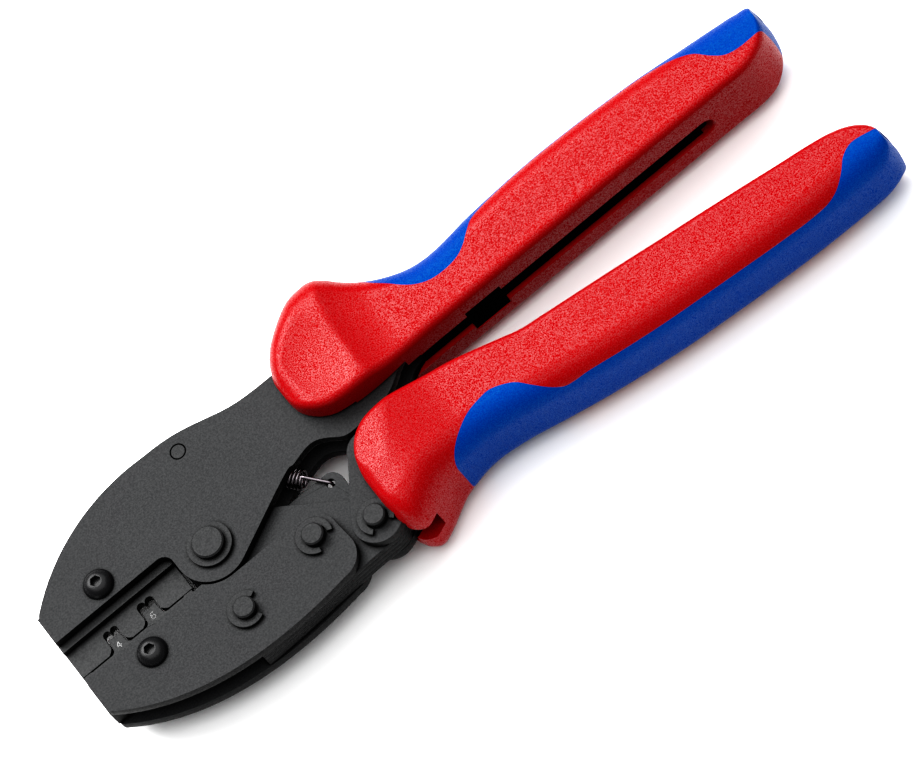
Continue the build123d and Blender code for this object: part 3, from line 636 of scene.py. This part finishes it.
def grip_mesh(name, rows, height, end):
    """Closed skin of a grip through its rows, with a domed end.

    A row is (x, inner wall y, outer wall y, half thickness). The end is (where the dome begins and
    stops in x, share of the lower half kept at its tip, how far it bulges).
    """
    points, faces = [], []
    rings = curve_through([list(row) for row in rows], GRIP_STEP)
    start, stop, least, bulge = end
    for x, inner, outer, limit in rings:
        dome = blend_step(x, start, stop)
        for y, z in grip_ring(inner, outer, limit, height, x, 1 - (1 - least) * dome):
            points.append((x + bulge * dome * (1 - (z / limit) ** 2), y, z))
    count = len(points) // len(rings)
    flip = rows[0][2] < rows[0][1]
    for r in range(len(rings) - 1):
        for i in range(count):
            j = (i + 1) % count
            face = [r * count + i, r * count + j, (r + 1) * count + j, (r + 1) * count + i]
            faces.append(face[::-1] if flip else face)
    first, last = list(range(count)), list(range(len(points) - count, len(points)))
    faces.append(first if flip else first[::-1])
    faces.append(last[::-1] if flip else last)
    piece = from_points(name, points, faces)
    face_outwards(piece)
    return piece


TABLE_HALF = 3.0
TABLE_WHITE = (0.9, 0.9, 0.9, 1)
TABLE_ROUGHNESS = 0.9
TABLE_GLINT = 0.1


def add_floor():
    """Plain white table top."""
    corners = [(-1, -1), (1, -1), (1, 1), (-1, 1)]
    mesh = bpy.data.meshes.new("table")
    mesh.from_pydata([(x * TABLE_HALF, y * TABLE_HALF, 0) for x, y in corners], [], [(0, 1, 2, 3)])
    floor = mesh_object("table", mesh)
    material, _, shader = new_material("table_white")
    shader.inputs["Base Color"].default_value = TABLE_WHITE
    shader.inputs["Roughness"].default_value = TABLE_ROUGHNESS
    shader.inputs["Specular IOR Level"].default_value = TABLE_GLINT
    finish(floor, material)


FIXED_SOFT_EDGE = [
    (60.0, 33.5),
    (65.3, 24.6),
    (68.4, 20.9),
    (70.5, 18.3),
    (73.1, 16.0),
    (76.2, 14.5),
    (80.4, 14.0),
    (84.5, 14.6),
    (87.2, 16.0),
    (89.8, 18.2),
    (92.3, 20.3),
    (95.9, 21.4),
    (101.0, 22.1),
    (112.0, 22.6),
    (122.0, 22.4),
    (132.4, 21.9),
    (142.8, 20.9),
    (148.9, 19.4),
    (152.2, 17.9),
    (154.9, 16.1),
    (157.4, 13.1),
    (160.0, 10.8),
    (163.1, 9.9),
    (170.4, 9.9),
    (178.0, 9.9),
]
MOVING_SOFT_EDGE = [
    (51.2, -37.0),
    (51.6, -31.0),
    (52.3, -27.4),
    (53.8, -25.4),
    (56.4, -22.8),
    (60.5, -20.0),
    (64.2, -18.2),
    (67.9, -17.4),
    (70.9, -17.2),
    (74.0, -18.3),
    (76.7, -20.0),
    (79.2, -22.9),
    (81.8, -25.4),
    (84.5, -27.0),
    (87.1, -27.6),
    (90.8, -28.1),
    (101.2, -29.8),
    (111.6, -31.2),
    (122.0, -32.2),
    (132.4, -33.1),
    (142.8, -33.9),
    (152.0, -34.3),
    (156.9, -34.1),
    (160.1, -33.2),
    (163.2, -31.2),
    (165.8, -28.7),
    (168.9, -27.4),
    (175.0, -28.4),
    (182.0, -29.4),
]


def soft_tool(name, edge, far_y):
    """Closed prism over a soft zone, from its edge out to far_y."""
    line = [(p[0], p[1]) for p in curve_through([list(e) for e in edge], EDGE_STEP)]
    outline = line + [(line[-1][0], far_y), (line[0][0], far_y)]
    return prism(name, outline, -TOOL_REACH, TOOL_REACH)


def handle_local(x, y):
    """Point given along and across the moving handle, from its datum on the inner wall."""
    turn = radians(HANDLE_SLOPE)
    return (
        HANDLE_DATUM[0] + x * cos(turn) - y * sin(turn),
        HANDLE_DATUM[1] + x * sin(turn) + y * cos(turn),
    )


def box_tool(name, x_low, x_high, y_low, y_high, z_low, z_high, local=False):
    """Closed box in the plan, or in the moving handle's own directions."""
    corners = [(x_low, y_low), (x_high, y_low), (x_high, y_high), (x_low, y_high)]
    if local:
        corners = [handle_local(*c) for c in corners]
    return prism(name, corners, z_low, z_high)


def slot_tool(name, x_low, x_high, mouth, floor, middle, local=False):
    """Long slot with round ends and a rounded mouth; mouth and floor are depths in Y."""
    depth_side = 1 if floor > mouth else -1
    levels = [(mouth - depth_side, MOUTH_FLARE + MOUTH_EXTRA), (mouth, MOUTH_FLARE)]
    for i in range(1, MOUTH_STEPS + 1):
        a = pi / 2 * i / MOUTH_STEPS
        narrowing = MOUTH_FLARE * (1 - sin(a)) * MOUTH_SHARE
        levels.append((mouth + depth_side * MOUTH_FLARE * sin(a), narrowing))
    levels.append((floor, 0.0))
    outline = []
    for x, first_angle in ((x_high, -pi / 2), (x_low, pi / 2)):
        for i in range(SLOT_STEPS + 1):
            outline.append((x, first_angle + pi * i / SLOT_STEPS))
    points, faces = [], []
    for depth, extra in levels:
        for x, a in outline:
            px = x + (SLOT_HALF + extra) * cos(a)
            pz = middle + (SLOT_HALF + extra) * sin(a)
            plan = handle_local(px, depth) if local else (px, depth)
            points.append((plan[0], plan[1], pz))
    count = len(outline)
    for r in range(len(levels) - 1):
        for i in range(count):
            j = (i + 1) % count
            faces.append([r * count + i, r * count + j, (r + 1) * count + j, (r + 1) * count + i])
    faces.append(list(range(count))[::-1])
    faces.append(list(range(len(points) - count, len(points))))
    piece = from_points(name, points, faces)
    face_outwards(piece)
    return piece


def duplicate(piece, name):
    """Second object with its own copy of the mesh."""
    return mesh_object(name, piece.data.copy())


def make_grip(label, body, rows, height, end, edge, far_y, tools, materials):
    """Hard shell and soft zone of one grip, in place of their CAD nodes."""
    shell = grip_mesh(f"{label}_shell", rows, height, end)
    cut(shell, tools)
    soft = duplicate(shell, f"{label}_soft_zone")
    cut(shell, [soft_tool("tool_a", edge, far_y)])
    cut(soft, [soft_tool("tool_b", edge, far_y)], "INTERSECT")
    for piece, slot, node in (
        (shell, "red_plastic", label),
        (soft, "blue_rubber", f"{label}_soft"),
    ):
        smooth(piece)
        finish(piece, materials[slot])
        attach(piece, body)
        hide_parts(node)


FIXED_POCKET = [
    (30.0, 24.2), (34.0, 24.0), (45.0, 22.5), (62.0, 18.5), (80.0, 17.2), (147.0, 17.2),
    (151.5, 14.5), (152.0, 12.1), (151.5, 9.7), (147.0, 7.0), (66.0, 7.0), (57.7, 3.6),
    (52.0, 1.0), (30.0, 0.0),
]
FIXED_MOUTH = [(30.0, -4.0), (46.0, -4.0), (46.0, 26.0), (30.0, 26.0)]
FIXED_MID_GAP = (28.0, 64.0, -4.0, 21.0, -HALF_GAP, HALF_GAP)
FIXED_SLOT = (60.0, 146.0, 4.95, 16.6, -0.5)
WINDOW = (77.5, 87.5, 0.0, 7.3, -5.3, 4.2)
WINDOW_WELL = (77.5, 87.5, 5.3, 7.3, -9.0, -4.9)
MOVING_POCKET = [
    (30.0, -5.0), (36.3, -3.0), (41.6, -1.6), (50.0, -3.8), (64.0, -6.2),
    handle_local(0.0, -1.9), handle_local(66.0, -1.9), handle_local(70.2, -4.0),
    handle_local(70.9, -6.8), handle_local(70.2, -9.6), handle_local(66.0, -11.7),
    handle_local(-8.0, -11.7), (62.0, -19.9), (50.0, -22.4), (38.0, -27.6), (30.0, -29.0),
]
MOVING_GAP = [(43.0, 5.0), (66.0, 5.0), (66.0, -18.6), (52.0, -22.4), (43.0, -24.0)]
MOVING_MOUTH = (28.0, 44.4, -42.0, 5.0)
MOVING_SLOT = (-22.0, 60.0, 0.3, -10.6, 0.0)
MOVING_WINDOW = (-5.0, 5.0, -2.2, 4.0, -FACE, FACE)
OVERLAP = 0.2
PLATE_PLAY = 0.02
MOUTH_RISE = 0.8
GAP_PLAY = 0.1
PIN_ROOM = 5.1
PIN_RISE = 2.9
PIN_RISE_BACK = 1.9


def plate_pockets(outline):
    """Room for the front and the back plate, over one outline."""
    return [
        prism("pocket_front", outline, HALF_GAP - OVERLAP, FACE + PLATE_PLAY),
        prism("pocket_back", outline, -FACE - PLATE_PLAY, OVERLAP - HALF_GAP),
    ]


def fixed_grip_tools():
    """What is cut out of the fixed grip: plates' pocket, slot, window and the gap at its mouth."""
    return plate_pockets(FIXED_POCKET) + [
        box_tool("mid_gap", *FIXED_MID_GAP),
        slot_tool("slot", *FIXED_SLOT),
        box_tool("window", *WINDOW),
        box_tool("window_well", *WINDOW_WELL),
        prism("mouth_front", FIXED_MOUTH, FACE - GAP_PLAY, FACE + MOUTH_RISE),
        prism("mouth_back", FIXED_MOUTH, -FACE - MOUTH_RISE, GAP_PLAY - FACE),
    ]


def moving_grip_tools():
    """What is cut out of the moving grip: its open mouth, pockets, slot and room for the pin."""
    half = HALF_GAP + GAP_PLAY
    return plate_pockets(MOVING_POCKET) + [
        box_tool("mouth", *MOVING_MOUTH, -half, half),
        prism("gap", MOVING_GAP, -half, half),
        slot_tool("slot", *MOVING_SLOT, True),
        box_tool("window", *MOVING_WINDOW, True),
        prism("pin_front", circle(HANDLE_PIVOT, PIN_ROOM), FACE - GAP_PLAY, FACE + PIN_RISE),
        prism("pin_back", circle(HANDLE_PIVOT, PIN_ROOM), -FACE - PIN_RISE_BACK, GAP_PLAY - FACE),
    ]


# ---------------------------------------------------------------- steel pieces from the CAD
WELD_DISTANCE = 1e-6
BEVEL_ANGLE = 40.0
BEVELS = {
    "fixed_plate_front": 0.22,
    "fixed_plate_back": 0.22,
    "jaw_plate_front": 0.3,
    "jaw_plate_back": 0.3,
    "jaw_lamination_1": 0.1,
    "jaw_lamination_2": 0.1,
    "jaw_lamination_3": 0.1,
    "jaw_lamination_4": 0.1,
    "handle_plate_front": 0.25,
    "handle_plate_back": 0.25,
    "upper_die": 0.12,
    "lower_die": 0.12,
    "pressure_link": 0.2,
    "main_pivot_clip": 0.12,
    "jaw_pin_clips": 0.12,
    "handle_pivot_clip": 0.12,
}


def dress_steel(materials):
    """Small broken edges and finishes on the CAD pieces that stay."""
    slots = {row["node"]: row["material_slot"] for row in frame["record"]["subparts"]}
    for name, piece in NODES.items():
        slot = slots[name]
        for material_slot in piece.material_slots:
            material_slot.material = materials[slot]
        if name not in BEVELS:
            continue
        weld = piece.modifiers.new("weld", "WELD")
        weld.merge_threshold = WELD_DISTANCE
        bevel = piece.modifiers.new("bevel", "BEVEL")
        bevel.width = BEVELS[name] * MM
        bevel.segments = 2
        bevel.limit_method = "ANGLE"
        bevel.angle_limit = radians(BEVEL_ANGLE)
        bevel.harden_normals = True


# ---------------------------------------------------------------- small pieces of painted shade
# Painted shade behind the fixed grip's slot and lock window: boxes as x, y and z ranges.
SHADE_STRIP = (64.0, 145.4, 5.75, 6.9, -2.6, 1.9)
SHADE_WINDOW = (77.7, 87.3, 5.7, 6.95, -8.8, 4.1)
# Painted shade ring round the flush pin: inner and outer radius and rise above the plate.
SEAM_INNER = 1.66
SEAM_OUTER = 1.98
SEAM_RISE = 0.03


def make_painted_slot_shade(materials):
    """Painted shade: a black strip put behind the fixed grip's slot and lock window, where there is
    only shade.
    """
    shade_block = box_tool("slot_painted_shade", *SHADE_STRIP)
    cut(shade_block, [box_tool("painted_shade_window", *SHADE_WINDOW)], "UNION")
    finish(shade_block, materials["painted_shade_black"])
    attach(shade_block, "frame")


def make_painted_pin_shade(materials):
    """Painted shade: a thin black ring round the flush spring pin, where shade falls in the groove.
    """
    outer, inner = circle(SPRING_ANCHOR, SEAM_OUTER), circle(SPRING_ANCHOR, SEAM_INNER)
    ring = prism("flush_pin_painted_shade", outer, FACE - 0.1, FACE + SEAM_RISE)
    cut(ring, [prism("seam_hole", inner, FACE - 0.2, FACE + 0.2)])
    finish(ring, materials["painted_shade_black"])
    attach(ring, "frame")


# ---------------------------------------------------------------- springs and nest numbers
SPRING_Z = 0.3
SPRING_WIRE = 0.4
SPRING_RADIUS = 2.15
COIL_START = 6.0
COIL_END = 30.0
COIL_TURNS = 26.5
HOOK_Z = 1.93
PIN_RING = 2.25
PIN_RING_STEPS = 28
PIN_RING_GAP = 0.14
COIL_LEAD = 1.6
HOOK_BEND = 0.12
HOOK_STEPS = (0.3, 0.6, 0.9)
HOOK_DROPS = ((-0.1, 0.15), (-0.5, 0.3), (-2.6, 0.3))
PAWL_REACH = 13.9
PAWL_DIRECTION = 18.0
PAWL_TAIL = 3.1
PAWL_POST = 10.4
PAWL_SPRING_WIRE = 0.25
PAWL_SPRING_RADIUS = 1.2
PAWL_COIL_START = 1.5
PAWL_COIL_END = 6.2
PAWL_COIL_TURNS = 9
PAWL_COIL_STEPS = 16
PAWL_TAIL_LEAD = 1.0
PAWL_POST_LEAD = 0.6


def tube(name, path, radius, sides=10):
    """Round wire along plan points, with closed ends."""
    points, faces = [], []
    centres = [Vector(p) for p in path]
    across = None
    for i, centre in enumerate(centres):
        ahead = (centres[min(i + 1, len(centres) - 1)] - centres[max(i - 1, 0)]).normalized()
        if across is None:
            across = ahead.orthogonal().normalized()
        across = (across - ahead * across.dot(ahead)).normalized()
        other = ahead.cross(across)
        for k in range(sides):
            a = 2 * pi * k / sides
            points.append(tuple(centre + radius * (across * cos(a) + other * sin(a))))
    for r in range(len(centres) - 1):
        for k in range(sides):
            j = (k + 1) % sides
            faces.append([r * sides + k, r * sides + j, (r + 1) * sides + j, (r + 1) * sides + k])
    faces.append(list(range(sides))[::-1])
    faces.append(list(range(len(points) - sides, len(points))))
    wire = from_points(name, points, faces)
    smooth(wire, 60)
    return wire


def helix(origin, ahead, radius, start, end, turns, first_angle, steps=20):
    """Points of a coil round a line that leaves an origin; angles are from +Z."""
    side = Vector((-ahead.y, ahead.x, 0))
    up = Vector((0, 0, 1))
    count = int(turns * steps)
    points = []
    for i in range(count + 1):
        share = i / count
        a = radians(first_angle) + 2 * pi * turns * share
        centre = origin + ahead * (start + (end - start) * share)
        points.append(centre + radius * (up * cos(a) + side * sin(a)))
    return points


def make_opening_spring(materials):
    """Tension spring: a ring round the flush pin, a close coil and a hook through the jaw's ear."""
    anchor = Vector((*SPRING_ANCHOR, SPRING_Z))
    lug = Vector((*SPRING_LUG, SPRING_Z))
    ahead = (lug - anchor).normalized()
    side = Vector((-ahead.y, ahead.x, 0))
    path = []
    for i in range(PIN_RING_STEPS + 1):
        a = 2 * pi * (PIN_RING_GAP + (1 - PIN_RING_GAP) * i / PIN_RING_STEPS)
        path.append(anchor + PIN_RING * (ahead * cos(a) + side * sin(a)))
    path.append(anchor + ahead * (COIL_START - COIL_LEAD))
    path += helix(anchor, ahead, SPRING_RADIUS, COIL_START, COIL_END, COIL_TURNS, 180)
    top = path[-1]
    hole = Vector((*SPRING_LUG, HOOK_Z))
    path.append(top.lerp(hole, HOOK_BEND) + Vector((0, 0, HOOK_BEND)))
    path += [top.lerp(hole, t) for t in HOOK_STEPS]
    path += [hole + Vector((0, 0, drop)) + ahead * reach for drop, reach in HOOK_DROPS]
    spring = tube("opening_spring_wire", path, SPRING_WIRE)
    finish(spring, materials["spring_steel"])
    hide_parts("opening_spring")
    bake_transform(spring)


def pawl_point(x):
    """Point on the line from the handle pivot through the pawl pin, past the pin by x."""
    return Vector((*polar(HANDLE_PIVOT, PAWL_REACH + x, PAWL_DIRECTION), 0.0))


def make_pawl_spring(materials):
    """Small centring spring from the pawl's tail to its post."""
    tail, post = pawl_point(PAWL_TAIL), pawl_point(PAWL_POST)
    ahead = (post - tail).normalized()
    path = [tail, tail + ahead * PAWL_TAIL_LEAD]
    path += helix(
        tail, ahead, PAWL_SPRING_RADIUS, PAWL_COIL_START, PAWL_COIL_END, PAWL_COIL_TURNS, 0,
        PAWL_COIL_STEPS,
    )
    path += [post - ahead * PAWL_POST_LEAD, post]
    spring = tube("pawl_spring_wire", path, PAWL_SPRING_WIRE, 8)
    finish(spring, materials["spring_steel"])
    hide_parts("pawl_spring")
    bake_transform(spring)


NUMBER_WIDTH = 1.05
NUMBER_HEIGHT = 1.65
NUMBER_STROKE = 0.2
NUMBER_BASE = 1.25
NUMBER_SUNK = 0.04
NUMBER_RISE = 0.02
NUMBERS = {
    "4": ((-30.45, -2.35), [(0.72, 0.0), (0.72, 1.0), (0.0, 0.3), (1.0, 0.3)]),
    "6": (
        (-20.28, -2.2),
        [
            (0.85, 0.97), (0.5, 1.0), (0.2, 0.85), (0.03, 0.55), (0.03, 0.25), (0.2, 0.04),
            (0.5, 0.0), (0.8, 0.05), (0.97, 0.28), (0.85, 0.52), (0.5, 0.6), (0.15, 0.48),
        ],
    ),
}


def make_numbers(materials):
    """Nest numbers on the lower die's anvils, as thin pale strokes."""
    points, faces = [], []
    half = NUMBER_STROKE / 2
    for centre, line in NUMBERS.values():
        plan = [
            (centre[0] + (u - 0.5) * NUMBER_WIDTH, centre[1] + (v - 0.5) * NUMBER_HEIGHT)
            for u, v in line
        ]
        for (x0, y0), (x1, y1) in zip(plan, plan[1:]):
            length = hypot(x1 - x0, y1 - y0)
            ux, uy = (x1 - x0) / length * half, (y1 - y0) / length * half
            corners = [
                (x0 - ux - uy, y0 - uy + ux),
                (x0 - ux + uy, y0 - uy - ux),
                (x1 + ux + uy, y1 + uy - ux),
                (x1 + ux - uy, y1 + uy + ux),
            ]
            first = len(points)
            for z in (NUMBER_BASE - NUMBER_SUNK, NUMBER_BASE + NUMBER_RISE):
                points += [(x, y, z) for x, y in corners]
            faces += [
                [first + 3, first + 2, first + 1, first],
                [first + 4, first + 5, first + 6, first + 7],
            ]
            faces += [
                [first + k, first + (k + 1) % 4, first + 4 + (k + 1) % 4, first + 4 + k]
                for k in range(4)
            ]
    numbers = from_points("nest_numbers", points, faces)
    finish(numbers, materials["number_white"])
    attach(numbers, "jaw")


# ---------------------------------------------------------------- the scene
def main():
    """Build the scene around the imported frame."""
    add_camera()
    add_world()
    add_lights()
    view = bpy.context.scene.view_settings
    view.view_transform = "Standard"
    view.look = "High Contrast"
    add_floor()
    materials = make_materials()
    dress_steel(materials)
    make_grip(
        "fixed_grip", "frame", FIXED_ROWS, fixed_height, FIXED_END, FIXED_SOFT_EDGE,
        FAR_SIDE, fixed_grip_tools(), materials,
    )
    make_grip(
        "moving_grip", "handle", MOVING_ROWS, moving_height, MOVING_END, MOVING_SOFT_EDGE,
        -FAR_SIDE, moving_grip_tools(), materials,
    )
    make_painted_slot_shade(materials)
    make_painted_pin_shade(materials)
    make_opening_spring(materials)
    make_pawl_spring(materials)
    make_numbers(materials)


main()
